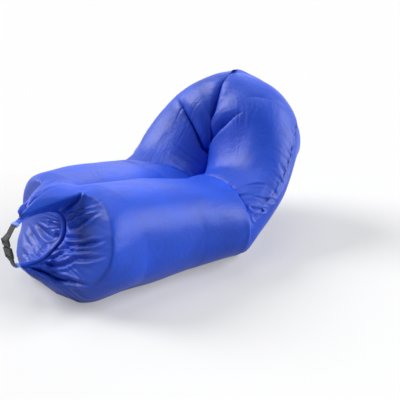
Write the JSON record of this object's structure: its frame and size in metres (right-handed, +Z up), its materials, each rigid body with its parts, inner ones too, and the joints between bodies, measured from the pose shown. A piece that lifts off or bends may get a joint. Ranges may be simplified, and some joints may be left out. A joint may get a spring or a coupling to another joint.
{
  "type": "inflatable lounger",
  "caption": "Air-filled lounger of two joined fabric tubes with a hooded, creased back and a rolled mouth closed by a webbing strap and side-release buckle.",
  "frame": {"origin": "on the floor, under the middle of the bounding box", "axes": "+Z up, -Y towards the rolled mouth at the front, +X the sitter's left"},
  "size_m": [0.849, 1.3994, 0.6586],
  "materials": {
    "nylon": "satin coated ripstop nylon",
    "hem": "satin binding tape",
    "piping": "gathered cloth seam",
    "webbing": "matt woven webbing",
    "plastic": "satin moulded acetal",
    "strip": "plain flexible plastic"
  },
  "bodies": {
    "lounger": {"seat_tube_left": "nylon", "seat_tube_right": "nylon", "back_lower_left": "nylon", "back_lower_right": "nylon", "back_upper_left": "nylon", "back_upper_right": "nylon", "front_panel_left": "nylon", "front_panel_right": "nylon", "side_seam_left": "piping", "side_seam_right": "piping", "rear_panel": "nylon", "peak_seam_tab": "hem", "mouth_roll": "nylon", "mouth_stiffener": "strip", "end_cuff_upper": "hem", "end_cuff_lower": "hem", "strap_upper": "webbing", "strap_lower": "webbing", "buckle_female": "plastic"},
    "buckle_tongue": {"buckle_male": "plastic"},
    "latch_left": {"latch_arm_left": "plastic"},
    "latch_right": {"latch_arm_right": "plastic"}
  },
  "joints": [
    {"name": "buckle_slide", "type": "slide", "parent": "lounger", "child": "buckle_tongue", "axis": [0, -0.1537, 0.9881], "range_m": [0, 0.024], "deforming": ["strap_upper", "latch_arm_left", "latch_arm_right"]},
    {"name": "latch_left_flex", "type": "hinge", "parent": "buckle_tongue", "child": "latch_left", "pos_m": [0.0107, -0.69254, 0.24194], "axis": [0, 0.9881, 0.1537], "range_deg": [0, 10], "stiffness_Nm_per_rad": 1.5},
    {"name": "latch_right_flex", "type": "hinge", "parent": "buckle_tongue", "child": "latch_right", "pos_m": [-0.0107, -0.69254, 0.24194], "axis": [0, -0.9881, -0.1537], "range_deg": [0, 10], "stiffness_Nm_per_rad": 1.5}
  ],
  "couplings": [
    {"joint": "latch_right_flex", "follows": "latch_left_flex", "ratio": 1}
  ]
}
